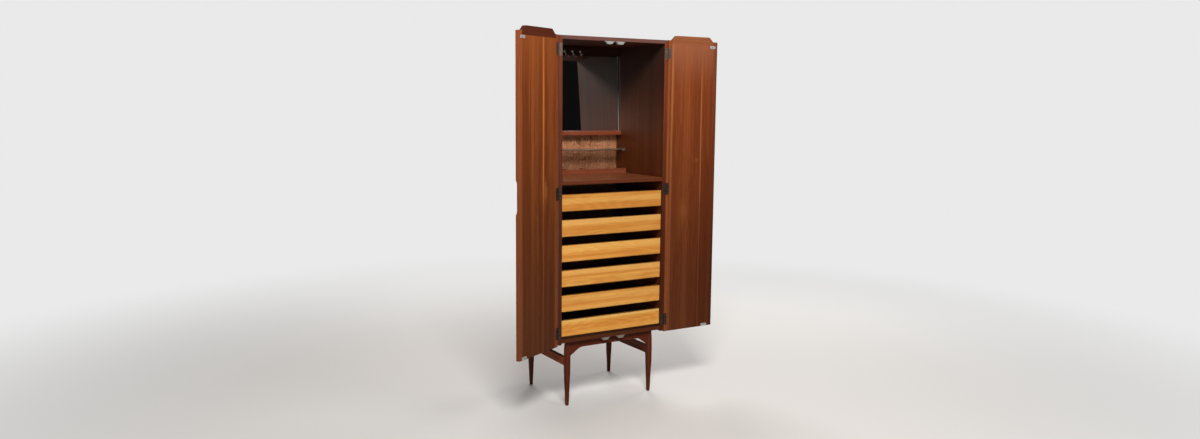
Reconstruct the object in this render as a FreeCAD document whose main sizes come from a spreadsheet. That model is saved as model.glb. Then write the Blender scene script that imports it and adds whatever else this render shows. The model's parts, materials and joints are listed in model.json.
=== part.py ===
import FreeCAD, Part
import Sketcher
import math
import os
import re

# Gentleman's wardrobe: a tall narrow cabinet on a low leg frame. Two doors with raised crests
# swing on butt hinges, six shirt drawers slide on side runners, and the upper half holds a
# leaning mirror, a glass shelf, a divided tray and tie hooks. All lengths are in millimetres.
# Cabinet frame: X across from the middle, Y back from the front edges, Z up from the floor.

driving = {
    # Cabinet boards
    "cabinetWidth": 610,
    "cabinetDepth": 452,
    "cabinetTop": 1785,
    "boardThick": 18,
    "bottomUnder": 324,
    "bottomThick": 26,
    "sideDrop": 8,
    "shelfSetback": 1,
    "backThick": 6,
    "backInset": 4,
    "backHousing": 6,
    "backClear": 0.2,
    # Mirror, its ledge and the hook rail above it
    "ledgeDepth": 48,
    "ledgeThick": 20,
    "ledgeAboveGlass": 91,
    "mirrorTuck": 9,
    "mirrorThick": 4,
    "mirrorBevel": 8,
    "mirrorBevelDrop": 1.2,
    "mirrorSideClear": 2,
    "mirrorFoot": 18,
    "mirrorGroove": 4,
    "mirrorGrooveRoom": 1.5,
    "seatClear": 0.3,
    "railHeight": 47,
    "railThick": 18,
    "railRebate": 7,
    "hookPitch": 46,
    "hookHeight": 17,
    "roseRadius": 6,
    "roseThick": 2,
    "hookWire": 1.5,
    "hookArm": 8,
    "hookDrop": 15,
    "hookBend": 5.5,
    "hookBall": 3.2,
    # Glass shelf, its studs and the tray at the back of the centre shelf
    "glassAboveShelf": 129,
    "glassThick": 6,
    "glassDepth": 93,
    "glassSideClear": 0.5,
    "studRadius": 3.5,
    "studReach": 9,
    "studPin": 2,
    "studPinLength": 8,
    "studInset": 16,
    "holeClear": 0.1,
    "lipHeight": 25,
    "lipThick": 8,
    "lipSetForward": 98.5,
    "dividerThick": 5,
    "dividerHalf": 60,
    "dividerSeat": 4,
    # Drawers and their runners
    "drawerSetback": 8,
    "drawerSideGap": 2,
    "frontHeight": 81,
    "frontThick": 16,
    "frontSoft": 1,
    "drawerPitch": 121.7,
    "drawerFloorGap": 3,
    "drawerTopRoom": 4.8,
    "drawerRearGap": 12,
    "drawerSideThick": 12,
    "drawerSideLift": 4,
    "drawerSideLow": 5,
    "drawerBackLow": 4,
    "drawerBottomThick": 4,
    "drawerBottomLift": 6,
    "drawerBottomTongue": 4,
    "runnerHeight": 12,
    "runnerBite": 8,
    "runnerLift": 36,
    "runnerEndGap": 20,
    "slideClear": 0.3,
    # Doors
    "doorThick": 19,
    "doorMeetGap": 3,
    "doorBelow": 13.2,
    "shoulderAbove": 1,
    "crestRise": 23,
    "crestRail": 41,
    "crestFoot": 2,
    "crestRun": 24,
    "crestRound": 14,
    "crestHollow": 4.5,
    "hingeStile": 22,
    "freeStile": 24,
    "pullBelowShelf": 51,
    "pullHalf": 76.5,
    "pullReach": 18,
    "pullDepth": 11,
    # Butt hinges
    "hingeGap": 1.5,
    "hingeOut": 2.5,
    "hingeHeight": 58,
    "hingeFromTop": 36,
    "leafWidth": 16.5,
    "leafThick": 1.2,
    "knuckleRadius": 2.5,
    "knuckleClear": 0.15,
    "pinRadius": 1.25,
    "pinClear": 0.05,
    "pinHead": 2.2,
    "pinHeadThick": 1,
    "screwHead": 2.9,
    "screwHeadDeep": 1.1,
    "screwRadius": 1.4,
    "screwLength": 13,
    "screwPitch": 19,
    # Magnetic catches and their strike plates
    "catchFlange": 52,
    "catchFlangeThick": 3,
    "catchBody": 40,
    "catchFace": 28,
    "catchDrop": 14,
    "catchDepth": 15,
    "catchTopHalf": 30,
    "catchBottomLeft": 38,
    "catchBottomRight": 50,
    "strikeWidth": 36,
    "strikeHeight": 14,
    "strikeThick": 1.2,
    "strikeEdge": 2,
    "strikeBottomEdge": 1,
    # Leg frame
    "legInset": 65.7,
    "legSetback": 31.1,
    "legFoot": 14.5,
    "legCalf": 24.5,
    "legKnee": 28,
    "legTop": 21.5,
    "calfBelowKnee": 82,
    "kneeAboveRail": 15,
    "legSoftShare": 0.25,
    "apronThick": 22,
    "apronHeight": 36,
    "bracketDrop": 42,
    "bracketRun": 68,
    "bracketRound": 60,
    "railWidth": 20,
    "railDepth": 40,
    "railBelowCabinet": 85,
    "baseScrewHalf": 130,
    "baseScrewRadius": 2.2,
    "baseScrewHead": 4.2,
    "baseScrewHeadThick": 3,
    "baseScrewRecess": 12,
    "baseScrewLength": 36,
}

hingeCount = 3
drawerCount = 6
knuckleCount = 5
quarterTurn = 90.0
leftOpenAngle = 152.7
rightOpenAngle = 180.0

doc = FreeCAD.newDocument("wardrobe")
sheet = doc.addObject("Spreadsheet::Sheet", "sizes")
for row, (alias, value) in enumerate(driving.items(), start=1):
    sheet.set(f"A{row}", alias)
    sheet.set(f"B{row}", str(value))
    sheet.setAlias(f"B{row}", alias)
doc.recompute()


def size(alias):
    return float(sheet.get(alias))


def bound(text):
    # Points each size's name in an expression at the sheet
    return re.sub(r"[A-Za-z]\w*", lambda word: ("sizes." if word.group() in driving else "") + word.group(), text)


def tie(thing, **expressions):
    for place, text in expressions.items():
        thing.setExpression(place.replace("_", "."), bound(text))
    return thing


def seat(thing, x, y, z):
    return tie(thing, Placement_Base_x=x, Placement_Base_y=y, Placement_Base_z=z)


# Derived lengths, as expression text
innerHalf = "(cabinetWidth / 2 - boardThick)"
backFace = "(cabinetDepth - backInset - backThick)"
bottomTop = "(bottomUnder + bottomThick)"
doorWidth = "((cabinetWidth - doorMeetGap) / 2)"
doorFoot = "(bottomUnder - doorBelow)"
shoulder = "(cabinetTop + shoulderAbove)"
crestFootHeight = f"({shoulder} + crestRise - crestRail)"
frontHalf = f"({innerHalf} - drawerSideGap)"
pivotX = "(cabinetWidth / 2 + hingeOut)"
legX = "(cabinetWidth / 2 - legInset)"
legBackY = "(cabinetDepth - legSetback)"
lipFront = f"({backFace} - lipSetForward)"
shelfTop = f"({bottomTop} + drawerFloorGap + {drawerCount} * drawerPitch + drawerTopRoom + boardThick)"
glassTop = f"({shelfTop} + glassAboveShelf)"
ledgeTop = f"({glassTop} + ledgeAboveGlass)"
railBottom = "(cabinetTop - boardThick - railHeight)"
mirrorHeight = f"({railBottom} - {ledgeTop} + mirrorTuck)"
railLow = "(bottomUnder - railBelowCabinet - railDepth)"

# The photographed pose sets the box whose middle is the origin
pivotOut = size("cabinetWidth") / 2 + size("hingeOut")
pivotFront = -size("hingeGap") / 2
doorReach = size("hingeOut") + (size("cabinetWidth") - size("doorMeetGap")) / 2
doorOuter = size("hingeGap") / 2 + size("doorThick")
leftTurn = math.radians(leftOpenAngle)
lowX = -pivotOut + doorReach * math.cos(leftTurn) - doorOuter * math.sin(leftTurn)
highX = pivotOut + doorReach
lowY = pivotFront - doorReach * math.sin(leftTurn) - size("hingeGap") / 2 * math.cos(leftTurn)
middleX = (lowX + highX) / 2
middleY = (lowY + size("cabinetDepth")) / 2
upAxis = FreeCAD.Vector(0, 0, 1)
acrossAxis = FreeCAD.Vector(1, 0, 0)

cabinetPlace = FreeCAD.Placement(FreeCAD.Vector(-middleX, -middleY, 0), FreeCAD.Rotation())
leftDoorPlace = FreeCAD.Placement(
    FreeCAD.Vector(-pivotOut - middleX, pivotFront - middleY, 0), FreeCAD.Rotation(upAxis, -leftOpenAngle)
)
rightDoorPlace = FreeCAD.Placement(
    FreeCAD.Vector(pivotOut - middleX, pivotFront - middleY, 0), FreeCAD.Rotation(upAxis, rightOpenAngle)
)
doorPlaces = {"left": leftDoorPlace, "right": rightDoorPlace}

nodes = []


def node(label, solids, place=cabinetPlace):
    # One named sub-part: its solids, in their own frame, put where the sub-part stands
    piece = doc.addObject("Part::Compound", label)
    piece.Label = label
    piece.Links = solids
    piece.Placement = place
    nodes.append(piece)
    return piece


def box(x, y, z, length, width, height):
    return seat(tie(doc.addObject("Part::Box", "Block"), Length=length, Width=width, Height=height), x, y, z)


def cylinder(x, y, z, radius, height, turn=None):
    rod = doc.addObject("Part::Cylinder", "Rod")
    if turn:
        rod.Placement = FreeCAD.Placement(FreeCAD.Vector(), turn)
    return seat(tie(rod, Radius=radius, Height=height), x, y, z)


def cone(x, y, z, wide, narrow, height, turn):
    taper = doc.addObject("Part::Cone", "Taper")
    taper.Placement = FreeCAD.Placement(FreeCAD.Vector(), turn)
    return seat(tie(taper, Radius1=wide, Radius2=narrow, Height=height), x, y, z)


def fuse(*solids):
    joined = doc.addObject("Part::MultiFuse", "Joined")
    joined.Shapes = list(solids)
    return joined


def cut(base, tools):
    cutter = doc.addObject("Part::Compound", "Cutter")
    cutter.Links = tools
    carved = doc.addObject("Part::Cut", "Carved")
    carved.Base = base
    carved.Tool = cutter
    return carved


def pad(label, plane, corners, depth, reverse=False):
    # A flat outline with named corners, drawn on one of the body's own planes and padded
    body = doc.addObject("PartDesign::Body", label)
    outline = body.newObject("Sketcher::SketchObject", "Outline")
    face = [origin for origin in body.Origin.OriginFeatures if origin.Role == plane][0]
    outline.AttachmentSupport = [(face, "")]
    outline.MapMode = "FlatFace"
    placed = [FreeCAD.Vector(index, index * index, 0) for index in range(len(corners))]
    for start, end in zip(placed, placed[1:] + placed[:1]):
        outline.addGeometry(Part.LineSegment(start, end))
    for index in range(len(corners)):
        before = (index - 1) % len(corners)
        outline.addConstraint(Sketcher.Constraint("Coincident", before, 2, index, 1))
    for index, (across, up) in enumerate(corners):
        for kind, text in (("DistanceX", across), ("DistanceY", up)):
            number = outline.addConstraint(Sketcher.Constraint(kind, -1, 1, index, 1, 1.0))
            outline.setExpression(f"Constraints[{number}]", bound(text))
    solid = body.newObject("PartDesign::Pad", "Slab")
    solid.Profile = outline
    solid.Reversed = reverse
    solid.setExpression("Length", bound(depth))
    body.Tip = solid
    return body


def soften(body, radius, wanted):
    # Rounds the edges of a body's tip that the test picks by their middle and direction
    doc.recompute()
    sharp = body.Tip
    picked = []
    for number, edge in enumerate(sharp.Shape.Edges, start=1):
        middle = edge.valueAt((edge.FirstParameter + edge.LastParameter) / 2)
        along = edge.tangentAt(edge.FirstParameter)
        if wanted(middle, along):
            picked.append(f"Edge{number}")
    rounding = body.newObject("PartDesign::Fillet", "Round")
    rounding.Base = (sharp, picked)
    rounding.setExpression("Radius", bound(radius))
    body.Tip = rounding
    return body


def outward(sign, start, length):
    # Where a block begins that runs outward from a distance, left of the middle or right of it
    return start if sign > 0 else f"-({start} + {length})"


def mirrored(sign, across):
    return across if sign > 0 else f"-({across})"


everyEdge = lambda middle, along: True
towardBack = FreeCAD.Rotation(acrossAxis, -quarterTurn)
towardFront = FreeCAD.Rotation(acrossAxis, quarterTurn)
towardRight = FreeCAD.Rotation(FreeCAD.Vector(0, 1, 0), quarterTurn)
sides = {"left": -1, "right": 1}


# Hinge positions, shared by the leaves, their pockets and their screws
hingeLowest = f"({doorFoot} + hingeFromTop)"
hingeHighest = "(cabinetTop - hingeFromTop - hingeHeight)"


def hingeFoot(index):
    return f"({hingeLowest} + {index} * ({hingeHighest} - {hingeLowest}) / {hingeCount - 1})"


def screw(x, y, z, turn, grow="0"):
    head = cone(x, y, z, f"screwHead + {grow}", f"screwRadius + {grow}", "screwHeadDeep", turn)
    shank = cylinder(x, y, z, f"screwRadius + {grow}", f"screwLength + {grow}", turn)
    return fuse(head, shank)


def leafScrews(x, y, turn, grow="0"):
    # Three screws up the middle of each hinge leaf
    return [
        screw(x, y, f"{hingeFoot(index)} + hingeHeight / 2 + ({step}) * screwPitch", turn, grow)
        for index in range(hingeCount)
        for step in (-1, 0, 1)
    ]


def leafPockets(x, y):
    return [box(x, y, hingeFoot(index), "leafWidth", "leafThick", "hingeHeight") for index in range(hingeCount)]


def leaves(plateX, plateY, bridgeX, pivotAcross, pivotAlong, parity, holes):
    # One leaf of every hinge on an edge: a plate, every other knuckle and the web that joins them
    made = []
    knuckle = f"(hingeHeight / {knuckleCount})"
    for index in range(hingeCount):
        solids = [box(plateX, plateY, hingeFoot(index), "leafWidth", "leafThick", "hingeHeight")]
        for turn in range(parity, knuckleCount, 2):
            low = f"({hingeFoot(index)} + {turn} * {knuckle} + knuckleClear)"
            high = f"({knuckle} - 2 * knuckleClear)"
            solids.append(cylinder(pivotAcross, pivotAlong, low, "knuckleRadius", high))
            solids.append(box(bridgeX, plateY, low, "hingeOut", "leafThick", high))
        bore = cylinder(pivotAcross, pivotAlong, hingeFoot(index), "pinRadius + pinClear", "hingeHeight")
        made.append(cut(fuse(*solids), [bore] + holes[3 * index:3 * index + 3]))
    return made


def glassStuds(sign, grow="0", pinOnly=False):
    # Two studs in one side: a round seat for the glass and a pin in the board
    made = []
    height = f"{glassTop} - glassThick - studRadius - holeClear"
    for along in ("studInset", "glassDepth - studInset"):
        y = f"{backFace} - ({along})"
        pin = cylinder(
            outward(sign, innerHalf, "studPinLength"), y, height, f"studPin + {grow}", "studPinLength", towardRight
        )
        seatStart = f"({innerHalf} - studReach)"
        if pinOnly:
            made.append(pin)
        else:
            made.append(fuse(pin, cylinder(outward(sign, seatStart, "studReach"), y, height, "studRadius",
                                           "studReach", towardRight)))
    return made


def cabinetSide(name, sign):
    inner = mirrored(sign, innerHalf)
    outer = mirrored(sign, "cabinetWidth / 2")
    low = "bottomUnder - sideDrop"
    corners = [(outer, low), (inner, low), (inner, "cabinetTop - boardThick"), (outer, "cabinetTop")]
    blank = pad("Side", "XZ_Plane", corners, "cabinetDepth", reverse=True)
    rebate = box(outward(sign, innerHalf, "backHousing"), backFace, "bottomUnder", "backHousing",
                 "backThick + backInset", "cabinetTop - boardThick + backHousing - bottomUnder")
    plateX = outward(sign, "(cabinetWidth / 2 - leafWidth)", "leafWidth")
    screwX = mirrored(sign, "cabinetWidth / 2 - leafWidth / 2")
    tools = [rebate] + leafPockets(plateX, "0") + leafScrews(screwX, "0", towardBack, "holeClear")
    node(f"side_{name}", [cut(blank, tools + glassStuds(sign, "holeClear", pinOnly=True))])


def topBoard():
    under = "cabinetTop - boardThick"
    corners = [(f"-{innerHalf}", under), (innerHalf, under), ("cabinetWidth / 2", "cabinetTop"),
               ("-cabinetWidth / 2", "cabinetTop")]
    blank = pad("Top", "XZ_Plane", corners, "cabinetDepth", reverse=True)
    half = f"({innerHalf} + backHousing)"
    rebate = box(f"-{half}", backFace, under, f"2 * {half}", "backThick + backInset", "backHousing")
    node("top_board", [cut(blank, [rebate])])


def baseScrewPlaces():
    return [(x, y) for y in ("legSetback", legBackY) for x in ("-baseScrewHalf", "baseScrewHalf")]


def baseScrews(grow="0"):
    made = []
    head = "(bottomUnder - apronHeight + baseScrewRecess)"
    for x, y in baseScrewPlaces():
        shank = cylinder(x, y, head, f"baseScrewRadius + {grow}", f"baseScrewLength + {grow}")
        cap = cylinder(x, y, f"{head} - baseScrewHeadThick", f"baseScrewHead + {grow}", "baseScrewHeadThick")
        made.append(fuse(shank, cap))
    return made


def bottomBoard():
    board = box(f"-{innerHalf}", "0", "bottomUnder", f"2 * {innerHalf}", backFace, "bottomThick")
    node("bottom_board", [cut(board, baseScrews("holeClear"))])


def backPanel():
    half = f"({innerHalf} + backHousing - backClear)"
    height = "cabinetTop - boardThick + backHousing - backClear - bottomUnder"
    node("back_panel", [box(f"-{half}", backFace, "bottomUnder", f"2 * {half}", "backThick", height)])


def centreShelf():
    node("centre_shelf", [box(f"-{innerHalf}", "shelfSetback", f"{shelfTop} - boardThick", f"2 * {innerHalf}",
                              f"{backFace} - shelfSetback", "boardThick")])


# The mirror stands in a groove of its ledge and leans back until its top rests on the back panel
ledgeFront = f"({backFace} - ledgeDepth)"
mirrorHalf = f"({innerHalf} - mirrorSideClear)"


def mirrorParts():
    ledge = box(f"-{innerHalf}", ledgeFront, f"{ledgeTop} - ledgeThick", f"2 * {innerHalf}", "ledgeDepth",
                "ledgeThick")
    groove = box(f"-{innerHalf}", f"{ledgeFront} + mirrorFoot - mirrorGrooveRoom / 2", f"{ledgeTop} - mirrorGroove",
                 f"2 * {innerHalf}", "mirrorThick + mirrorGrooveRoom", "mirrorGroove")
    node("mirror_ledge", [cut(ledge, [groove])])

    wedge = doc.addObject("Part::Wedge", "Bevel")
    tie(wedge, Xmin=f"mirrorBevel - {mirrorHalf}", Xmax=f"{mirrorHalf} - mirrorBevel", Zmin="mirrorBevel",
        Zmax=f"{mirrorHeight} - mirrorBevel", X2min=f"-{mirrorHalf}", X2max=mirrorHalf, Z2min="0",
        Z2max=mirrorHeight, Ymin="0", Ymax="mirrorBevelDrop")
    plate = box(f"-{mirrorHalf}", "mirrorBevelDrop", "0", f"2 * {mirrorHalf}", "mirrorThick - mirrorBevelDrop",
                mirrorHeight)
    doc.recompute()
    thick = size("mirrorThick")
    tall = plate.Height.Value
    leanRun = size("ledgeDepth") - size("mirrorFoot") - size("seatClear")
    lean = math.asin(leanRun / math.hypot(thick, tall)) - math.atan2(thick, tall)
    footY = ledge.Placement.Base.y + size("mirrorFoot")
    footZ = groove.Placement.Base.z + size("seatClear") + thick * math.sin(lean)
    turned = FreeCAD.Rotation(acrossAxis, -math.degrees(lean))
    node("mirror", [fuse(wedge, plate)],
         cabinetPlace * FreeCAD.Placement(FreeCAD.Vector(0, footY, footZ), turned))

    rail = box(f"-{innerHalf}", f"{backFace} - railThick", railBottom, f"2 * {innerHalf}", "railThick", "railHeight")
    rebate = box(f"-{innerHalf}", f"{backFace} - railRebate", railBottom, f"2 * {innerHalf}", "railRebate",
                 "railRebate")
    node("hook_rail", [cut(rail, [rebate])])


def tieHook(x):
    # A round rose, a short arm, a drop, a bend that comes forward and a ball on its end
    face = f"({backFace} - railThick)"
    height = f"({railBottom} + hookHeight)"
    rose = cylinder(x, face, height, "roseRadius", "roseThick", towardFront)
    arm = cylinder(x, face, height, "hookWire", "hookArm", towardFront)
    elbow = seat(tie(doc.addObject("Part::Sphere", "Elbow"), Radius="hookWire"), x, f"{face} - hookArm", height)
    drop = cylinder(x, f"{face} - hookArm", f"{height} - hookDrop", "hookWire", "hookDrop")
    bend = doc.addObject("Part::Torus", "Bend")
    bend.Angle3 = 2 * quarterTurn
    underneath = FreeCAD.Rotation(
        FreeCAD.Vector(0, 1, 0), FreeCAD.Vector(0, 0, -1), FreeCAD.Vector(-1, 0, 0), "XYZ"
    )
    bend.Placement = FreeCAD.Placement(FreeCAD.Vector(), underneath)
    tie(bend, Radius1="hookBend", Radius2="hookWire")
    seat(bend, x, f"{face} - hookArm - hookBend", f"{height} - hookDrop")
    ball = doc.addObject("Part::Sphere", "Ball")
    seat(tie(ball, Radius="hookBall"), x, f"{face} - hookArm - 2 * hookBend", f"{height} - hookDrop")
    return fuse(rose, arm, elbow, drop, bend, ball)


def shelfFittings():
    node("tie_hooks", [tieHook(f"({step}) * hookPitch") for step in (-1, 0, 1)])
    half = f"({innerHalf} - glassSideClear)"
    node("glass_shelf", [box(f"-{half}", f"{backFace} - glassDepth", f"{glassTop} - glassThick", f"2 * {half}",
                             "glassDepth - seatClear", "glassThick")])
    node("shelf_studs", glassStuds(-1) + glassStuds(1))

    slots = []
    dividers = []
    for sign in (-1, 1):
        middle = mirrored(sign, "dividerHalf")
        slots.append(box(f"{middle} - dividerThick / 2 - holeClear", lipFront, f"{shelfTop} + dividerSeat",
                         "dividerThick + 2 * holeClear", "lipThick", "lipHeight - dividerSeat"))
        board = box(f"{middle} - dividerThick / 2", lipFront, shelfTop, "dividerThick",
                    f"{backFace} - {lipFront}", "lipHeight")
        notch = box(f"{middle} - dividerThick / 2", lipFront, shelfTop, "dividerThick", "lipThick + holeClear",
                    "dividerSeat")
        dividers.append(cut(board, [notch]))
    lip = box(f"-{innerHalf}", lipFront, shelfTop, f"2 * {innerHalf}", "lipThick", "lipHeight")
    node("tray_lip", [cut(lip, slots)])
    node("tray_dividers", dividers)


# Drawers, counted from the top
drawerRear = f"({backFace} - drawerRearGap)"
frontRear = "(drawerSetback + frontThick)"


def drawerFoot(index):
    return f"({bottomTop} + drawerFloorGap + {drawerCount - 1 - index} * drawerPitch)"


def drawerFront(index):
    foot = drawerFoot(index)
    corners = [(f"-{frontHalf}", foot), (frontHalf, foot), (frontHalf, f"{foot} + frontHeight"),
               (f"-{frontHalf}", f"{foot} + frontHeight")]
    front = soften(pad("Front", "XZ_Plane", corners, "frontThick", reverse=True), "frontSoft", everyEdge)
    seat(front, "0", "drawerSetback", "0")
    node(f"drawer_front_{index + 1}", [front])


def drawerBox(index):
    foot = drawerFoot(index)
    sideLow = f"({foot} + drawerSideLift)"
    sideHeight = "(frontHeight - drawerSideLift - drawerSideLow)"
    length = f"({drawerRear} - {frontRear})"
    panelLow = f"({sideLow} + drawerBottomLift)"
    innerWall = f"({frontHalf} - drawerSideThick)"
    solids = []
    for sign in sides.values():
        wall = box(outward(sign, innerWall, "drawerSideThick"), frontRear, sideLow, "drawerSideThick", length,
                   sideHeight)
        bite = "(runnerBite + slideClear)"
        track = box(outward(sign, f"({frontHalf} - {bite})", bite), frontRear, f"{foot} + runnerLift - slideClear",
                    bite, length, "runnerHeight + 2 * slideClear")
        groove = box(outward(sign, innerWall, "drawerBottomTongue"), frontRear, panelLow, "drawerBottomTongue",
                     length, "drawerBottomThick")
        solids.append(cut(wall, [track, groove]))
    half = f"({innerWall} + drawerBottomTongue)"
    panel = box(f"-{half}", frontRear, panelLow, f"2 * {half}", length, "drawerBottomThick")
    backLow = f"({panelLow} + drawerBottomThick)"
    back = box(f"-{innerWall}", f"{drawerRear} - drawerSideThick", backLow, f"2 * {innerWall}", "drawerSideThick",
               f"{sideLow} + {sideHeight} - drawerBackLow - {backLow}")
    node(f"drawer_box_{index + 1}", solids + [panel, back])


def runners(name, sign):
    reach = "(runnerBite + drawerSideGap)"
    start = f"({frontRear} + slideClear)"
    strips = [
        box(outward(sign, f"({innerHalf} - {reach})", reach), start, f"{drawerFoot(index)} + runnerLift", reach,
            f"{backFace} - runnerEndGap - {start}", "runnerHeight")
        for index in range(drawerCount)
    ]
    node(f"runners_{name}", strips)


# Doors are drawn closed, with the hinge pin at their own origin
doorInner = "(-hingeGap / 2)"
doorOuterFace = "(-hingeGap / 2 - doorThick)"
doorFree = f"(hingeOut + {doorWidth})"


def doorBlock(sign, start, length, low, high):
    return box(outward(sign, start, length), doorOuterFace, low, length, "doorThick", f"{high} - {low}")


def crestRail(sign):
    # A rail across the head of the door whose raised middle slopes down to a shoulder at each end
    left = "(hingeOut + hingeStile)"
    right = f"({doorFree} - freeStile)"
    outline = [(left, crestFootHeight), (right, crestFootHeight), (right, shoulder),
               (f"{right} - crestFoot", shoulder), (f"{right} - crestFoot - crestRun", f"{shoulder} + crestRise"),
               (f"{left} + crestFoot + crestRun", f"{shoulder} + crestRise"), (f"{left} + crestFoot", shoulder),
               (left, shoulder)]
    body = pad("Crest", "XZ_Plane", [(mirrored(sign, x), z) for x, z in outline], "doorThick", reverse=True)
    top = size("cabinetTop") + size("shoulderAbove")
    reach = size("hingeOut") + size("hingeStile") + size("crestFoot")
    far = doorReach - size("freeStile") - size("crestFoot")

    def onSlope(middle, along, height, inset):
        across = abs(middle.x)
        nearEnd = min(abs(across - reach - inset), abs(across - far + inset))
        return abs(along.y) > abs(along.x) + abs(along.z) and abs(middle.z - height) < size("crestFoot") / 2 and (
            nearEnd < size("crestFoot") / 2)

    crown = top + size("crestRise")
    soften(body, "crestRound", lambda middle, along: onSlope(middle, along, crown, size("crestRun")))
    soften(body, "crestHollow", lambda middle, along: onSlope(middle, along, top, 0))
    return seat(body, "0", doorOuterFace, "0")


def door(name, sign):
    place = doorPlaces[name]
    stileEnd = "(hingeOut + hingeStile)"
    panelWidth = f"({doorWidth} - hingeStile - freeStile)"
    node(f"door_panel_{name}", [doorBlock(sign, stileEnd, panelWidth, doorFoot, crestFootHeight)], place)
    node(f"crest_rail_{name}", [crestRail(sign)], place)

    leafX = outward(sign, "hingeOut", "leafWidth")
    screwX = mirrored(sign, "(hingeOut + leafWidth / 2)")
    pockets = leafPockets(leafX, f"{doorInner} - leafThick")
    holes = leafScrews(screwX, doorInner, towardFront, "holeClear")
    stile = doorBlock(sign, "hingeOut", "hingeStile", doorFoot, shoulder)
    node(f"hinge_stile_{name}", [cut(stile, pockets + holes)], place)

    # A hollow carved where the free edge meets the outer face, for the fingers
    hollow = doc.addObject("Part::Ellipsoid", "Hollow")
    tie(hollow, Radius1="pullHalf", Radius2="pullReach", Radius3="pullDepth")
    seat(hollow, mirrored(sign, doorFree), doorOuterFace, f"{shelfTop} - pullBelowShelf")
    free = doorBlock(sign, f"({doorFree} - freeStile)", "freeStile", doorFoot, shoulder)
    node(f"free_stile_{name}", [cut(free, [hollow])], place)

    plates = []
    bottomAcross = {"left": "catchBottomLeft", "right": "catchBottomRight"}[name]
    topLow = f"{crestFootHeight} - strikeEdge - strikeHeight"
    for across, low in (("catchTopHalf", topLow), (bottomAcross, f"{doorFoot} + strikeBottomEdge")):
        start = f"({pivotX} - {across} - strikeWidth / 2)"
        plates.append(box(outward(sign, start, "strikeWidth"), doorInner, low, "strikeWidth", "strikeThick",
                          "strikeHeight"))
    node(f"strike_plates_{name}", plates, place)

    moving = leaves(leafX, f"{doorInner} - leafThick", outward(sign, "0", "hingeOut"), "0", "0", 1,
                    leafScrews(screwX, doorInner, towardFront, "holeClear"))
    node(f"hinge_leaves_{name}_door", moving, place)
    node(f"hinge_screws_{name}_door", leafScrews(screwX, doorInner, towardFront), place)


def cabinetHinges(name, sign):
    plateX = outward(sign, "(cabinetWidth / 2 - leafWidth)", "leafWidth")
    screwX = mirrored(sign, "(cabinetWidth / 2 - leafWidth / 2)")
    pinX = mirrored(sign, pivotX)
    fixed = leaves(plateX, "0", outward(sign, "cabinetWidth / 2", "hingeOut"), pinX, "-hingeGap / 2", 0,
                   leafScrews(screwX, "0", towardBack, "holeClear"))
    node(f"hinge_leaves_{name}_cabinet", fixed)
    pins = []
    for index in range(hingeCount):
        foot = hingeFoot(index)
        rod = cylinder(pinX, "-hingeGap / 2", foot, "pinRadius", "hingeHeight")
        caps = [cylinder(pinX, "-hingeGap / 2", low, "pinHead", "pinHeadThick")
                for low in (f"{foot} - pinHeadThick", f"{foot} + hingeHeight")]
        pins.append(fuse(rod, *caps))
    node(f"hinge_pins_{name}", pins)
    return leafScrews(screwX, "0", towardBack)


def catch(middle, top):
    flange = "catchFlange / 2"
    shelf = f"{top} - catchFlangeThick"
    outline = [(flange, top), (flange, shelf), ("catchBody / 2", shelf), ("catchFace / 2", f"{top} - catchDrop")]
    right = [(f"{middle} + {across}", height) for across, height in outline]
    left = [(f"{middle} - {across}", height) for across, height in reversed(outline)]
    return pad("Catch", "XZ_Plane", right + left, "catchDepth", reverse=True)


def roundedSquare(side, height):
    half = side / 2
    soft = side * size("legSoftShare")
    flat = half - soft
    diagonal = flat + soft * math.sqrt(0.5)
    edges = []
    for corner in range(4):
        turn = FreeCAD.Rotation(upAxis, quarterTurn * corner)
        points = [(half, -flat), (half, flat), (diagonal, diagonal), (flat, half)]
        low, high, bulge, after = [turn.multVec(FreeCAD.Vector(x, y, height)) for x, y in points]
        edges.append(Part.LineSegment(low, high).toShape())
        edges.append(Part.Arc(high, bulge, after).toShape())
    return Part.Wire(edges)


def leg(label, across, along):
    # A shaped leg: slim at the cabinet, fullest where the side rail meets it, tapering to the foot
    knee = size("bottomUnder") - size("railBelowCabinet") - size("railDepth") + size("kneeAboveRail")
    sections = [(size("legFoot"), 0), (size("legCalf"), knee - size("calfBelowKnee")), (size("legKnee"), knee),
                (size("legTop"), size("bottomUnder"))]
    post = doc.addObject("Part::Feature", "Post")
    post.Shape = Part.makeLoft([roundedSquare(side, height) for side, height in sections], True, False)
    seat(post, across, along, "0")
    node(label, [post])
    return post


def apron(label, along, posts):
    low = "(bottomUnder - apronHeight)"
    half = f"({legX} - legTop / 4)"
    bend = f"({legX} - bracketRun)"
    corners = [(f"-{half}", "bottomUnder"), (f"-{half}", f"{low} - bracketDrop"), (f"-{bend}", low), (bend, low),
               (half, f"{low} - bracketDrop"), (half, "bottomUnder")]
    body = pad("Apron", "XZ_Plane", corners, "apronThick", reverse=True)
    height = size("bottomUnder") - size("apronHeight")
    hollow = lambda middle, along: abs(middle.z - height) < size("slideClear") and abs(along.y) > 0.5
    soften(body, "bracketRound", hollow)
    seat(body, "0", f"{along} - apronThick / 2", "0")
    wells = [cylinder(x, y, f"{low} - bracketDrop", "baseScrewHead + holeClear", "bracketDrop + baseScrewRecess")
             for x, y in baseScrewPlaces()]
    node(label, [cut(body, posts + wells + baseScrews("holeClear"))])


def sideRail(name, sign, posts):
    start = "(legSetback + legTop / 4)"
    rail = box(outward(sign, f"({legX} - railWidth / 2)", "railWidth"), start, railLow, "railWidth",
               f"{legBackY} - legTop / 4 - {start}", "railDepth")
    node(f"side_rail_{name}", [cut(rail, posts)])


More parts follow.
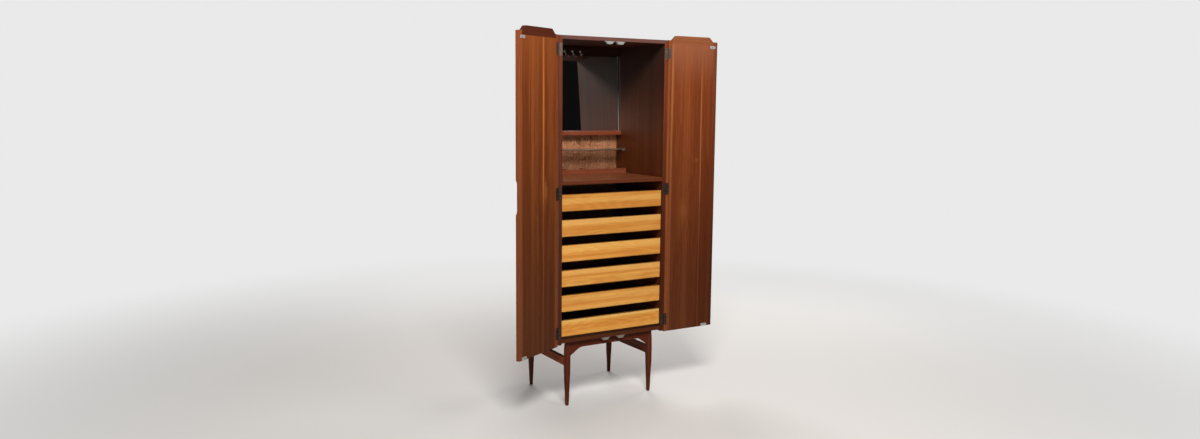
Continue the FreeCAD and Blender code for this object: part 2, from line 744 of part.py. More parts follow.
def cabinet():
    for name, sign in sides.items():
        cabinetSide(name, sign)
    topBoard()
    bottomBoard()
    centreShelf()
    backPanel()
    mirrorParts()
    shelfFittings()
    screws = []
    for name, sign in sides.items():
        runners(name, sign)
        screws += cabinetHinges(name, sign)
    node("hinge_screws_cabinet", screws)
    node("catches_top", [catch(middle, "(cabinetTop - boardThick)") for middle in ("-catchTopHalf", "catchTopHalf")])
    node("catches_bottom", [catch(middle, "bottomUnder") for middle in ("-catchBottomLeft", "catchBottomRight")])


def base():
    posts = [
        leg(f"leg_{row}_{name}", mirrored(sign, legX), along)
        for row, along in (("front", "legSetback"), ("back", legBackY))
        for name, sign in sides.items()
    ]
    apron("apron_front", "legSetback", posts)
    apron("apron_back", legBackY, posts)
    for name, sign in sides.items():
        sideRail(name, sign, posts)
    node("base_screws", baseScrews())


cabinet()
base()
for doorName, doorSign in sides.items():
    door(doorName, doorSign * -1)
for drawerIndex in range(drawerCount):
    drawerFront(drawerIndex)
    drawerBox(drawerIndex)

doc.recompute()
faults = [thing.Name for thing in doc.Objects if {"Invalid", "Error"} & set(thing.State)]
if faults:
    raise RuntimeError(f"Features that failed: {faults}")
for piece in nodes:
    if piece.Shape.isNull() or not piece.Shape.isValid() or not piece.Shape.Solids:
        raise RuntimeError(f"{piece.Label} has no sound solid")

os.makedirs("parts", exist_ok=True)
for piece in nodes:
    piece.Shape.exportStep(f"parts/{piece.Label}.step")
    print(piece.Label, len(piece.Shape.Solids), round(piece.Shape.Volume))
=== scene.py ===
import bmesh
import bpy
import json
import math
import numpy as np
from mathutils import Matrix, Vector
from mathutils.bvhtree import BVHTree


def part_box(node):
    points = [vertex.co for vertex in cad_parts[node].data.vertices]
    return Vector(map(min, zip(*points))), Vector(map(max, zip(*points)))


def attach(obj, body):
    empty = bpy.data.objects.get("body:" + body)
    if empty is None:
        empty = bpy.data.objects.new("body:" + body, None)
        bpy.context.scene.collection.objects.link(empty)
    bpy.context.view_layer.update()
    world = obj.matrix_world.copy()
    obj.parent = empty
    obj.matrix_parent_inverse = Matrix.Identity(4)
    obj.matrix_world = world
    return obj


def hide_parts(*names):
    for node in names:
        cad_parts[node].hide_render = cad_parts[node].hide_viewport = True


# Gentleman's wardrobe: finishes, worked details, soft studio light and the camera.
# Lengths are in metres. The cabinet's own middle and front are read from its boards.

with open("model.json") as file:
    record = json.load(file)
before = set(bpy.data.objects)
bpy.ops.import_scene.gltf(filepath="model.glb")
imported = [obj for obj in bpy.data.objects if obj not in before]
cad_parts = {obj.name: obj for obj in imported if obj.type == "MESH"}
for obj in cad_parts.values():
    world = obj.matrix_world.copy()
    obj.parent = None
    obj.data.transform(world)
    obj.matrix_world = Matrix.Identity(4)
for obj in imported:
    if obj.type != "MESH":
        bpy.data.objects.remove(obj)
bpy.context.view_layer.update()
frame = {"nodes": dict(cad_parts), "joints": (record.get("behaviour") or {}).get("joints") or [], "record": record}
nodes = frame["nodes"]

boardLow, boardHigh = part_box("top_board")
cabinetMiddle = (boardLow.x + boardHigh.x) / 2
cabinetFront = boardLow.y
hinges = {joint["child"]: joint for joint in frame["joints"] if joint["type"] == "hinge"}
quarterTurn = math.pi / 2
print("frame loaded:", len(nodes), "nodes")


class Signal:
    # One output socket, with the arithmetic that a plain number has
    def __init__(self, shader, socket):
        self.shader, self.socket = shader, socket

    def __add__(self, other):
        return self.shader.maths("ADD", self, other)

    def __sub__(self, other):
        return self.shader.maths("SUBTRACT", self, other)

    def __rsub__(self, other):
        return self.shader.maths("SUBTRACT", other, self)

    def __mul__(self, other):
        return self.shader.maths("MULTIPLY", self, other)

    def __truediv__(self, other):
        return self.shader.maths("DIVIDE", self, other)

    def __pow__(self, other):
        return self.shader.maths("POWER", self, other)

    def __abs__(self):
        return self.shader.maths("ABSOLUTE", self)

    __radd__, __rmul__ = __add__, __mul__


class Shader:
    # The nodes of one material, or of the world
    def __init__(self, holder):
        self.holder = holder
        holder.use_nodes = True
        self.tree = holder.node_tree
        self.tree.nodes.clear()

    def node(self, kind, settings=None, links=None, out=0):
        # Adds any node: its settings first, then the values or links of its sockets
        item = self.tree.nodes.new("ShaderNode" + kind)
        for setting, value in (settings or {}).items():
            if setting == "stops":
                while len(item.color_ramp.elements) < len(value):
                    item.color_ramp.elements.new(1.0)
                for element, (place, colour) in zip(item.color_ramp.elements, value):
                    element.position = place
                    element.color = (*colour, 1.0)
            else:
                setattr(item, setting, value)
        for socket, value in (links or {}).items():
            plug = item.inputs[socket]
            if isinstance(value, Signal):
                self.tree.links.new(value.socket, plug)
            elif plug.type == "RGBA":
                plug.default_value = (*value[:3], 1.0)
            else:
                plug.default_value = value
        return Signal(self, item.outputs[out]) if item.outputs else None

    def maths(self, operation, *values):
        return self.node("Math", {"operation": operation}, dict(enumerate(values)))

    def noise(self, vector, scale, detail=3.0, rough=0.55, warp=0.0):
        return self.node("TexNoise", None, {
            "Vector": vector, "Scale": scale, "Detail": detail, "Roughness": rough, "Distortion": warp})

    def layer(self, vector, scales, detail, rough=0.55, warp=0.0):
        # Noise with a scale of its own along each axis
        return self.noise(self.stretch(vector, scales), 1.0, detail, rough, warp)

    def stretch(self, vector, factors):
        return self.node("VectorMath", {"operation": "MULTIPLY"}, {0: vector, 1: factors})

    def shift(self, vector, other):
        return self.node("VectorMath", {"operation": "ADD"}, {0: vector, 1: other})

    def length(self, vector):
        return self.node("VectorMath", {"operation": "LENGTH"}, {0: vector}, out=1)

    def rise(self, value, low, high):
        # Climbs smoothly from 0 at low to 1 at high
        return self.node("MapRange", {"interpolation_type": "SMOOTHSTEP"}, {
            "Value": value, "From Min": low, "From Max": high})

    def mix(self, factor, first, second, blend="MIX"):
        return self.node("Mix", {"data_type": "RGBA", "blend_type": blend}, {
            0: factor, 6: first, 7: second}, out=2)

    def colour(self, red, green, blue):
        return self.node("CombineColor", None, {"Red": red, "Green": green, "Blue": blue})

    def bump(self, height, depth, strength=1.0):
        return self.node("Bump", None, {"Height": height, "Distance": depth, "Strength": strength})

    def parts(self, vector):
        item = self.node("SeparateXYZ", None, {"Vector": vector})
        return [Signal(self, socket) for socket in item.socket.node.outputs]

    def surface(self, sockets):
        shade = self.node("BsdfPrincipled", None, sockets)
        self.node("OutputMaterial", None, {"Surface": shade})
        return self.holder


# Wood: slow bands, stripes and fine lines that wander along the board, fibre, open pores and a
# satin oiled finish. The tones run from dark over body to light, and bright, red and pale are for
# streaks. Bands, stripes and lines are (repeats per metre across the grain, weight in the tone), and
# pin is how far the finest lines darken it. Heights are in metres above the floor.
# paintedShade: painted shade by height, where the light falls off: (height where the tone is least, height where
# it is full, share that is left)
# paintedSheen: painted sheen, a veil of another colour towards the top, (height where it starts, height where it
# is full, amount, colour)
# lip: colour of the front edge's strip; lipShadeRise: its painted shade, darker lower down; front: where it is, if
# set back
# grimeFrom: height from which the lip is dark, a painted shadow of the gap under the lowest drawer
# outer: (axis, place of the outer faces on it, how much lighter their veneer is)
# indoors: how far back a face still counts as inside the cabinet
# figure, arcs, fleck: how strong the curly figure, the flat-sawn arches and the pale flecks are
# rim: how high the painted shadow lines of the gaps along the lower and the upper arris of a drawer front are
woods = {
    "leftPanel": {
        "dark": (0.135, 0.026, 0.0052), "body": (0.240, 0.0545, 0.0122), "light": (0.440, 0.130, 0.0300),
        "bright": (0.730, 0.224, 0.0560),
        "bands": (14, 0.55), "stripes": (62, 0.9), "lines": (420, 1.0), "pin": 0.35,
        "rough": 0.38, "coat": 0.06, "paintedShade": (0.50, 1.85, 0.46),
        "paintedSheen": (1.48, 1.80, 0.50, (0.330, 0.088, 0.020)),
    },
    "rightPanel": {
        "dark": (0.142, 0.025, 0.0050), "body": (0.236, 0.0490, 0.0115), "light": (0.400, 0.110, 0.0270),
        "bright": (0.500, 0.165, 0.0560),
        "bands": (9, 0.6), "stripes": (62, 0.6), "lines": (420, 1.1), "pin": 0.35,
        "rough": 0.38, "coat": 0.06, "paintedShade": (0.50, 1.85, 0.45),
        "paintedSheen": (1.52, 1.80, 0.58, (0.40, 0.143, 0.067)),
    },
    "hingeStile": {
        "dark": (0.170, 0.037, 0.0080), "body": (0.290, 0.075, 0.0200), "light": (0.430, 0.140, 0.0440),
        "bands": (30, 0.9), "stripes": (110, 0.9), "lines": (520, 1.0), "pin": 0.25,
        "rough": 0.38, "coat": 0.06, "paintedShade": (0.35, 1.85, 0.85), "fleck": 0.30,
    },
    "redStile": {
        "dark": (0.120, 0.024, 0.0070), "body": (0.225, 0.052, 0.0170), "light": (0.320, 0.090, 0.0290),
        "bands": (30, 0.9), "stripes": (110, 0.9), "lines": (520, 1.0), "pin": 0.25,
        "rough": 0.38, "coat": 0.06, "paintedShade": (0.45, 1.85, 0.40),
        "paintedSheen": (1.30, 1.80, 0.25, (0.26, 0.080, 0.046)),
    },
    # The left door's free stile is paler than the right door's: painted light from the left on it
    "paleStilePaintedLight": {
        "dark": (0.205, 0.047, 0.0130), "body": (0.312, 0.080, 0.0240), "light": (0.430, 0.130, 0.0440),
        "bands": (30, 0.9), "stripes": (110, 0.9), "lines": (520, 1.0), "pin": 0.20,
        "rough": 0.38, "coat": 0.06, "paintedShade": (0.35, 1.85, 0.66),
    },
    "lightCrest": {
        "dark": (0.210, 0.058, 0.0200), "body": (0.320, 0.098, 0.0360), "light": (0.430, 0.150, 0.0600),
        "bands": (26, 0.8), "stripes": (100, 0.9), "lines": (460, 0.9), "pin": 0.25,
        "rough": 0.38, "coat": 0.06,
    },
    "darkCrest": {
        "dark": (0.058, 0.011, 0.0040), "body": (0.090, 0.018, 0.0065), "light": (0.135, 0.030, 0.0105),
        "bands": (26, 0.8), "stripes": (100, 0.9), "lines": (460, 0.9), "pin": 0.25,
        "rough": 0.40, "coat": 0.06,
    },
    "carcass": {
        "dark": (0.065, 0.0150, 0.0050), "body": (0.118, 0.0295, 0.0100), "light": (0.185, 0.0510, 0.0180),
        "bands": (16, 0.9), "stripes": (60, 0.9), "lines": (420, 0.9), "pin": 0.30,
        "rough": 0.42, "coat": 0.04, "lip": (0.125, 0.0290, 0.0110), "lipShadeRise": (0.80, 1.75, 0.72),
    },
    "shelf": {
        "dark": (0.130, 0.034, 0.0110), "body": (0.230, 0.066, 0.0220), "light": (0.340, 0.108, 0.0400),
        "bands": (20, 1.0), "stripes": (80, 1.0), "lines": (420, 0.9), "pin": 0.30,
        "rough": 0.30, "coat": 0.14, "lip": (0.154, 0.0390, 0.0140), "lipShadeRise": (0.80, 1.75, 0.80),
    },
    "ledge": {
        "dark": (0.170, 0.035, 0.0125), "body": (0.262, 0.061, 0.0250), "light": (0.345, 0.092, 0.0390),
        "bands": (26, 0.8), "stripes": (100, 0.9), "lines": (460, 0.9), "pin": 0.2, "rough": 0.36, "coat": 0.08,
    },
    # The back panel's inside is darker below the glass shelf: painted shade where the shelf's shadow falls
    "backPanel": {
        "dark": (0.180, 0.062, 0.0230), "body": (0.450, 0.188, 0.0880), "light": (0.720, 0.350, 0.1950),
        "bands": (9, 0.6), "stripes": (36, 0.5), "lines": (380, 1.0), "pin": 0.24,
        "rough": 0.46, "coat": 0.03, "figure": 0.75, "paintedShade": (1.150, 1.215, 0.62), "indoors": 0.2885,
    },
    "trayRed": {
        "dark": (0.130, 0.025, 0.0095), "body": (0.230, 0.057, 0.0230), "light": (0.320, 0.092, 0.0400),
        "bands": (30, 0.8), "stripes": (110, 0.9), "lines": (460, 0.9), "pin": 0.2, "rough": 0.36, "coat": 0.08,
    },
    "drawerFront": {
        "dark": (0.500, 0.175, 0.0250), "body": (0.665, 0.290, 0.0540), "light": (0.790, 0.420, 0.1020),
        "red": (0.600, 0.205, 0.0350), "pale": (0.800, 0.440, 0.1250),
        "bands": (20, 1.3), "stripes": (80, 0.9), "lines": (420, 1.1), "pin": 0.20,
        "rough": 0.42, "coat": 0.04, "arcs": 0.45, "rim": (0.0042, 0.0020),
    },
    # A dark reddish brown, darkened further as painted shade in the gaps between the drawer fronts
    "drawerBox": {
        "dark": (0.055, 0.022, 0.0100), "body": (0.085, 0.036, 0.0170), "light": (0.120, 0.056, 0.0290),
        "bands": (24, 0.7), "stripes": (90, 0.8), "lines": (460, 0.8), "pin": 0.2, "rough": 0.60, "coat": 0.0,
    },
    "base": {
        "dark": (0.070, 0.0115, 0.0037), "body": (0.115, 0.0205, 0.0062), "light": (0.168, 0.0335, 0.0112),
        "bands": (34, 0.9), "stripes": (120, 0.9), "lines": (520, 0.9), "pin": 0.3, "rough": 0.42, "coat": 0.04,
    },
}
lies = {"x": (0.0, quarterTurn, 0.0), "y": (-quarterTurn, 0.0, 0.0), "z": (0.0, 0.0, 0.0)}
toneNames = ("dark", "body", "light", "bright", "red", "pale")

# How every board's grain is drawn. A layer is (repeats per metre across, through and along the
# board, detail, roughness, warp), but bands, stripes and lines give only the repeats along it, as
# each wood has its own across. A rise is the pair of values between which something climbs. Drifts
# and reaches are in metres, and the rest are shares.
grain = {
    "seedSteps": (0.37, 0.53, 1.71), "brightest": 0.92, "middleTone": 0.5, "toneStops": (0.12, 0.50, 0.88),
    "slow": ((5.0, 5.0, 0.9), 2.0), "slowDrift": 0.030, "quick": ((24.0, 24.0, 4.5), 2.0),
    "quickDrift": 0.0035, "throughDrift": 0.7, "knotGlow": 0.45,
    "bands": (0.30, 2.0, 0.5), "stripes": (0.9, 3.0, 0.6), "lines": (4.0, 3.0, 0.65),
    "fibre": ((1500.0, 1500.0, 28.0), 2.0, 0.6), "fibreShade": 0.24, "plainShade": 0.88,
    "pores": ((950.0, 950.0, 34.0), 1.0, 0.4), "poreRise": (0.60, 0.72), "poreShare": 0.45,
    "curl": ((13.0, 13.0, 8.0), 2.0, 0.45, 0.5), "curlRings": 120.0, "curlLines": 3.5, "curlTone": 0.26,
    "curlBehind": 0.25, "indoorsReach": 0.001,
    "crown": ((11.0, 11.0, 1.7), 1.0, 0.4), "crownRings": 105.0, "crownLines": 2.0, "crownTone": 0.20,
    "streakDrift": 0.35, "streakCore": 0.35, "pinRise": (0.06, 0.20),
    "fleck": ((700.0, 700.0, 130.0), 2.0, 0.6), "fleckRise": (0.52, 0.68), "fleckTone": 1.35,
    "veneerReach": (0.0008, 0.0003), "rimCore": 0.3, "arrisShadowShare": 0.85, "arrisShadowTone": 0.12,
    "lipReach": (0.0007, 0.0011), "lipLines": 0.9, "lipStripes": 0.7, "lipTone": 0.9, "lipFull": 1.35,
    "grimeReach": 0.0012, "grimeShare": 0.9, "grimeTone": 0.1,
    "roughLines": 0.20, "roughPores": 0.22, "reliefFibre": 0.35, "reliefLines": 0.8, "reliefPores": 0.9,
    "relief": (0.00012, 0.6), "coatRough": 0.25, "specular": 0.25,
}


def scaled(colour, gain):
    return tuple(gain * part for part in colour)


def wander(s, moved, across, length, base, knots):
    # The grain's drift to the side, so that no line is ruled straight, and the glow of its knots
    slow, quick = (s.layer(moved, *grain[kind]) - 0.5 for kind in ("slow", "quick"))
    drift = slow * grain["slowDrift"] + quick * grain["quickDrift"]
    glow = 0.0
    for place, level, width, tall, pull in knots:
        # The grain parts round a knot: its pull dies away as 1 / (1 + squared distance)
        aside, away = across - place, length - (level - base)
        near = ((aside / width) ** 2.0 + (away / tall) ** 2.0 + 1.0) ** -1.0
        drift = drift - aside * near * pull
        glow = near * near * grain["knotGlow"] + glow
    return drift, glow


def lipColour(s, wood, height, lines, stripes, dark):
    # The front edge is lipped in a plainer, redder strip, made darker lower down by painted shade
    lowest, highest, least = wood["lipShadeRise"]
    tone = (lines * grain["lipLines"] + stripes * grain["lipStripes"] + grain["lipTone"]) * (
        s.rise(height, lowest, highest) * (grain["lipFull"] - least) + least)
    colour = s.colour(*(tone * part for part in wood["lip"]))
    # Painted shadow of the gap above, dark along the lip's top
    if "grimeFrom" in wood:
        grime = s.rise(height, wood["grimeFrom"], wood["grimeFrom"] + grain["grimeReach"])
        colour = s.mix(grime * grain["grimeShare"], colour, scaled(dark, grain["grimeTone"]))
    return colour


def woodFinish(name, wood, along="z", start=(0.0, 0.0, 0.0), turn=0.0, seed=0.0, streaks=(), knots=(),
               gain=1.0, rim=None):
    # The board's own frame: x and y across the grain, z along it, after the board's turn is undone
    s = Shader(bpy.data.materials.new(name))
    axis, edge, outerGain = wood.get("outer", (0, 0.0, 1.0))
    tones = {tone: tuple(min(gain * outerGain * part, grain["brightest"]) for part in wood[tone])
             for tone in toneNames if tone in wood}
    dark, body, light = tones["dark"], tones["body"], tones["light"]
    here = s.node("TexCoord", out=3)
    place = s.parts(here)
    depth, height = place[1:]
    tiltX, tiltY, tiltZ = lies[along]
    board = s.node("Mapping", {"vector_type": "TEXTURE"}, {
        "Vector": here, "Location": start, "Rotation": (tiltX, tiltY, tiltZ + turn)})
    across, _, length = s.parts(board)
    moved = s.shift(board, tuple(seed * step for step in grain["seedSteps"]))
    drift, glow = wander(s, moved, across, length, start[2], knots)
    lane = s.shift(moved, s.node("CombineXYZ", None, {
        "X": drift, "Y": drift * grain["throughDrift"], "Z": 0.0}))

    def woodLayer(kind):
        repeats, (longScale, *settings) = wood[kind][0], grain[kind]
        return s.layer(lane, (repeats, repeats, longScale), *settings) - 0.5

    bands, stripes, lines = (woodLayer(kind) for kind in ("bands", "stripes", "lines"))
    fibre = s.layer(lane, *grain["fibre"])
    pores = s.rise(s.layer(lane, *grain["pores"]), *grain["poreRise"])
    tone = bands * wood["bands"][1] + stripes * wood["stripes"][1] + lines * wood["lines"][1]
    tone = tone + grain["middleTone"] + glow
    indoors = 1.0
    if "indoors" in wood:
        indoors = 1.0 - s.rise(depth, wood["indoors"], wood["indoors"] + grain["indoorsReach"])
    if "figure" in wood:
        curl = s.layer(moved, *grain["curl"])
        rings = s.maths("SINE", curl * grain["curlRings"] + lines * grain["curlLines"])
        shown = indoors * (1.0 - grain["curlBehind"]) + grain["curlBehind"]
        tone = tone + rings * (grain["curlTone"] * wood["figure"]) * shown
    if "arcs" in wood:
        # Flat-sawn figure: nested arches where the saw runs out of the growth rings
        crown = s.layer(moved, *grain["crown"])
        rings = s.maths("SINE", crown * grain["crownRings"] + lines * grain["crownLines"])
        tone = tone + rings * abs(rings) * (grain["crownTone"] * wood["arcs"])

    colour = s.node("ValToRGB", {"stops": list(zip(grain["toneStops"], (dark, body, light)))}, {"Fac": tone})
    for middle, width, strength, shadeName, *fades in streaks:
        reach = abs(across + drift * grain["streakDrift"] - middle)
        for least, low, high in fades:
            strength = (s.rise(height, low, high) * (1.0 - least) + least) * strength
        blend = "LIGHTEN" if shadeName in ("light", "bright") else "MIX"
        streak = (1.0 - s.rise(reach, width * grain["streakCore"], width)) * strength
        colour = s.mix(streak, colour, tones[shadeName], blend)
    pin = s.rise(lines, *grain["pinRise"])
    colour = s.mix(pin * wood["pin"] + pores * grain["poreShare"], colour, dark)
    if "fleck" in wood:
        fleck = s.rise(s.layer(moved, *grain["fleck"]), *grain["fleckRise"])
        colour = s.mix(fleck * wood["fleck"], colour, scaled(light, grain["fleckTone"]))
    if outerGain != 1.0:
        # The faces that show from outside are a lighter, cleaner veneer
        reach = abs(place[axis] - (cabinetMiddle if axis == 0 else 0.0))
        indoors = 1.0 - s.rise(reach, *(edge - share for share in grain["veneerReach"]))
        colour = s.mix(indoors, colour, (1.0 / outerGain, 1.0 / outerGain, 1.0 / outerGain), "MULTIPLY")
    # Painted sheen: a paler veil towards the top, where the lights glare on the finish
    if "paintedSheen" in wood:
        low, high, amount, sheenColour = wood["paintedSheen"]
        colour = s.mix(s.rise(height, low, high) * indoors * amount, colour, sheenColour)
    if rim:
        # Painted shadow of the gaps along a drawer front's lower and upper arris
        low, high = rim
        foot, head = wood["rim"]
        unshadedArris = s.rise(height, low + foot * grain["rimCore"], low + foot) * (
            1.0 - s.rise(height, high - head, high))
        colour = s.mix((1.0 - unshadedArris) * grain["arrisShadowShare"], colour, scaled(dark, grain["arrisShadowTone"]))
    shade = fibre * grain["fibreShade"] + grain["plainShade"]
    # Painted shade by height: the tone is darker where the light falls off
    if "paintedShade" in wood:
        low, high, least = wood["paintedShade"]
        shade = shade * (1.0 - (1.0 - s.rise(height, low, high)) * indoors * (1.0 - least))
    colour = s.mix(1.0, colour, s.colour(shade, shade, shade), "MULTIPLY")
    if "lip" in wood:
        strip = 1.0 - s.rise(depth - wood.get("front", cabinetFront), *grain["lipReach"])
        colour = s.mix(strip, colour, lipColour(s, wood, height, lines, stripes, dark))
    rough = lines * grain["roughLines"] + pores * grain["roughPores"] + wood["rough"]
    relief = fibre * grain["reliefFibre"] + lines * grain["reliefLines"] - pores * grain["reliefPores"]
    return s.surface({
        "Base Color": colour, "Roughness": rough, "Normal": s.bump(relief, *grain["relief"]),
        "Coat Weight": wood["coat"], "Coat Roughness": grain["coatRough"],
        "Specular IOR Level": grain["specular"]})


# Plated metal: brushed, with a brown tarnish in cloudy patches. Its cloud is (repeats per metre,
# detail, roughness, warp) and its brush a layer. The patches start at a noise of cloudLow and are full
# at cloudHigh, each (value, how far the amount of tarnish lowers it). On a hinge the metal is also
# darker round the pin, painted shade and dark reflection of the knuckle's gap, and darker lower down,
# painted shade where the light falls off.
plating = {
    "cloud": (180.0, 4.0, 0.65, 0.6), "cloudLow": (0.62, 0.4), "cloudHigh": (0.80, 0.25),
    "brush": ((3000.0, 3000.0, 120.0), 1.0), "pinShadeReach": (0.0030, 0.0062), "pinShadeShare": 0.85,
    "litRise": (1.20, 1.70), "shadedBright": 0.36, "shadedTarnish": 0.55, "cloudDull": 0.35,
    "roughCloud": 0.22, "roughBrush": 0.12, "reliefCloud": 0.6, "relief": (0.00004, 0.5),
}


def metalFinish(name, bright, tarnish, amount, rough, metallic=1.0, pivot=None):
    s = Shader(bpy.data.materials.new(name))
    here = s.node("TexCoord", out=3)
    edges = (value - amount * share for value, share in (plating["cloudLow"], plating["cloudHigh"]))
    cloud = s.rise(s.noise(here, *plating["cloud"]), *edges)
    brush = s.layer(here, *plating["brush"])
    if pivot:
        # Painted shade round the pin, where the knuckle's gap is dark
        reach = s.length(s.shift(s.stretch(here, (1.0, 1.0, 0.0)), (-pivot[0], -pivot[1], 0.0)))
        pinShade = 1.0 - s.rise(reach, *plating["pinShadeReach"])
        cloud = s.maths("MAXIMUM", cloud, pinShade * plating["pinShadeShare"])
        # Painted shade: the hinge is darker lower down, where the light falls off
        litShare = s.rise(s.parts(here)[2], *plating["litRise"])
        bright = s.mix(litShare, scaled(bright, plating["shadedBright"]), bright)
        tarnish = s.mix(litShare, scaled(tarnish, plating["shadedTarnish"]), tarnish)
    return s.surface({
        "Base Color": s.mix(cloud, bright, tarnish), "Metallic": metallic - cloud * plating["cloudDull"],
        "Roughness": rough + cloud * plating["roughCloud"] + (brush - 0.5) * plating["roughBrush"],
        "Normal": s.bump(brush + cloud * plating["reliefCloud"], *plating["relief"])})


# Silvered plate: clear in the field, and spotted near its two sides. Its bevel is a duller, bluish grey: painted
# reflection of the room in the bevel.
# Bevel, soft and the spots' reach are in metres.
silver = {
    "bevel": 0.0035, "soft": 0.0004, "field": (0.84, 0.79, 0.75), "ground": (0.50, 0.58, 0.58),
    "haze": (26.0, 4.0, 0.6), "spots": (240.0, 3.0, 0.7), "spotRise": (0.66, 0.80), "spotReach": (0.035, 0.004),
    "spotShare": 0.6, "spotColour": (0.10, 0.08, 0.06), "bevelDull": 0.75,
    "rough": 0.008, "roughBevel": 0.20, "roughHaze": 0.012, "roughSpots": 0.3,
}


def mirrorFinish(name, half, foot, head):
    s = Shader(bpy.data.materials.new(name))
    here = s.node("TexCoord", out=3)
    x, y, z = s.parts(here)
    reach = abs(x - cabinetMiddle)
    bevel, soft = silver["bevel"], silver["soft"]
    side = s.rise(reach, half - bevel - soft, half - bevel + soft)
    top = s.rise(z, head - bevel - soft, head - bevel + soft)
    low = 1.0 - s.rise(z, foot + bevel - soft, foot + bevel + soft)
    edge = s.maths("MAXIMUM", side, s.maths("MAXIMUM", top, low))
    haze = s.noise(here, *silver["haze"])
    aside = s.rise(reach, *(half - share for share in silver["spotReach"]))
    spots = s.rise(s.noise(here, *silver["spots"]), *silver["spotRise"]) * aside
    # The bevel's bluish grey is painted reflection
    colour = s.mix(edge, silver["field"], silver["ground"])
    colour = s.mix(spots * silver["spotShare"], colour, silver["spotColour"])
    return s.surface({
        "Base Color": colour, "Metallic": 1.0 - edge * silver["bevelDull"],
        "Roughness": edge * silver["roughBevel"] + haze * silver["roughHaze"] + spots * silver["roughSpots"] + (
            silver["rough"])})


# Clear plate with polished faces and ground edges, which scatter the light in pale green. The
# faces' colour ends within skin, in metres from a face.
glass = {
    "skin": (0.0002, 0.0006), "edge": (0.80, 0.98, 0.90), "face": (0.93, 0.98, 0.96), "smear": (60.0, 3.0),
    "rough": 0.01, "roughSmear": 0.03, "roughEdge": 0.55, "bending": 1.5,
}


def glassFinish(name, low, high):
    s = Shader(bpy.data.materials.new(name))
    here = s.node("TexCoord", out=3)
    z = s.parts(here)[2]
    near, far = glass["skin"]
    face = s.rise(z, high - far, high - near) + 1.0 - s.rise(z, low + near, low + far)
    smear = s.noise(here, *glass["smear"])
    return s.surface({
        "Base Color": s.mix(face, glass["edge"], glass["face"]),
        "Transmission Weight": 1.0, "IOR": glass["bending"],
        "Roughness": smear * glass["roughSmear"] + glass["rough"] + (1.0 - face) * glass["roughEdge"]})


# Each metal, and the hinges' own, is (bright colour, tarnish, amount of tarnish, roughness, metallic)
metalTones = {
    "screwSteel": ((0.30, 0.24, 0.20), (0.070, 0.045, 0.030), 0.40, 0.34, 1.0),
    "catchNickel": ((0.72, 0.69, 0.66), (0.42, 0.38, 0.34), 0.10, 0.34, 0.70),
    # A darker, browner copy of the catch nickel for the catches under the bottom board: painted shade
    "catchNickelPaintedShade": ((0.52, 0.46, 0.39), (0.16, 0.12, 0.09), 0.25, 0.38, 0.75),
    "strikeZinc": ((0.66, 0.65, 0.63), (0.42, 0.39, 0.36), 0.06, 0.34, 0.50),
    "hookChrome": ((0.98, 0.98, 0.98), (0.70, 0.68, 0.64), 0.05, 0.24, 0.35),
}
hingeTone = ((0.40, 0.27, 0.22), (0.070, 0.036, 0.024), 0.45, 0.40, 1.0)
metals = {name: metalFinish(name, *values) for name, values in metalTones.items()}
for side in ("left", "right"):
    metals[f"hingeNickel_{side}"] = metalFinish(
        f"hingeNickel{side.title()}", *hingeTone, pivot=hinges[f"door_{side}"]["pos_m"])
print("metals made")


def dress(nodeName, material):
    mesh = nodes[nodeName].data
    mesh.materials.clear()
    mesh.materials.append(material)


# Boards of the cabinet and the base: (wood, the way its grain runs, what differs from that wood)
boardFinishes = {
    # The sides carry a painted sheen high up, and the right side's inside is darker towards the top by painted
    # shade from the top board
    "side_left": ("carcass", "z", {
        "paintedSheen": (1.25, 1.80, 0.22, (0.130, 0.062, 0.045)), "outer": (0, (boardHigh.x - boardLow.x) / 2, 2.0)}),
    "side_right": ("carcass", "z", {
        "dark": (0.055, 0.0120, 0.0030), "body": (0.100, 0.0230, 0.0055), "light": (0.160, 0.0400, 0.0110),
        "lip": (0.172, 0.0350, 0.0115), "lipShadeRise": (0.60, 1.80, 0.42), "paintedShade": (1.62, 1.22, 0.52),
        "outer": (0, (boardHigh.x - boardLow.x) / 2, 2.4),
        "paintedSheen": (1.42, 1.75, 0.60, (0.084, 0.052, 0.042))}),
    # The top board's lip is a pinkish grey: its own lipping with a painted sheen
    "top_board": ("carcass", "x", {"lip": (0.118, 0.0480, 0.0370), "outer": (2, boardHigh.z, 2.0)}),
    # The bottom board's tones are darker than the carcass's: painted shade on its top, under the lowest drawer
    "bottom_board": ("carcass", "x", {
        "dark": (0.026, 0.0060, 0.0020), "body": (0.047, 0.0118, 0.0040), "light": (0.074, 0.0204, 0.0072),
        "lip": (0.134, 0.0330, 0.0090), "grimeFrom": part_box("bottom_board")[1].z - 0.0056}),
    "centre_shelf": ("shelf", "x", {"front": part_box("centre_shelf")[0].y}),
    "back_panel": ("backPanel", "z", {}), "mirror_ledge": ("ledge", "x", {}),
    # The hook rail is darker towards its top: painted shade under the top board
    "hook_rail": ("carcass", "x", {"paintedShade": (1.70, 1.60, 0.32)}),
    "tray_lip": ("trayRed", "x", {}), "tray_dividers": ("trayRed", "y", {}),
    "runners_left": ("drawerBox", "y", {}), "runners_right": ("drawerBox", "y", {}),
    "leg_front_left": ("base", "z", {}), "leg_front_right": ("base", "z", {}),
    "leg_back_left": ("base", "z", {}), "leg_back_right": ("base", "z", {}),
    "apron_front": ("base", "x", {}), "apron_back": ("base", "x", {}),
    # Both side rails are lighter than the rest of the base; on the left rail most of that is painted light from
    # the lamp on the left
    "side_rail_left": ("base", "y", {"body": (0.330, 0.0560, 0.0110), "light": (0.400, 0.0780, 0.0180)}),
    "side_rail_right": ("base", "y", {"body": (0.165, 0.0300, 0.0090), "light": (0.230, 0.0460, 0.0150)}),
}

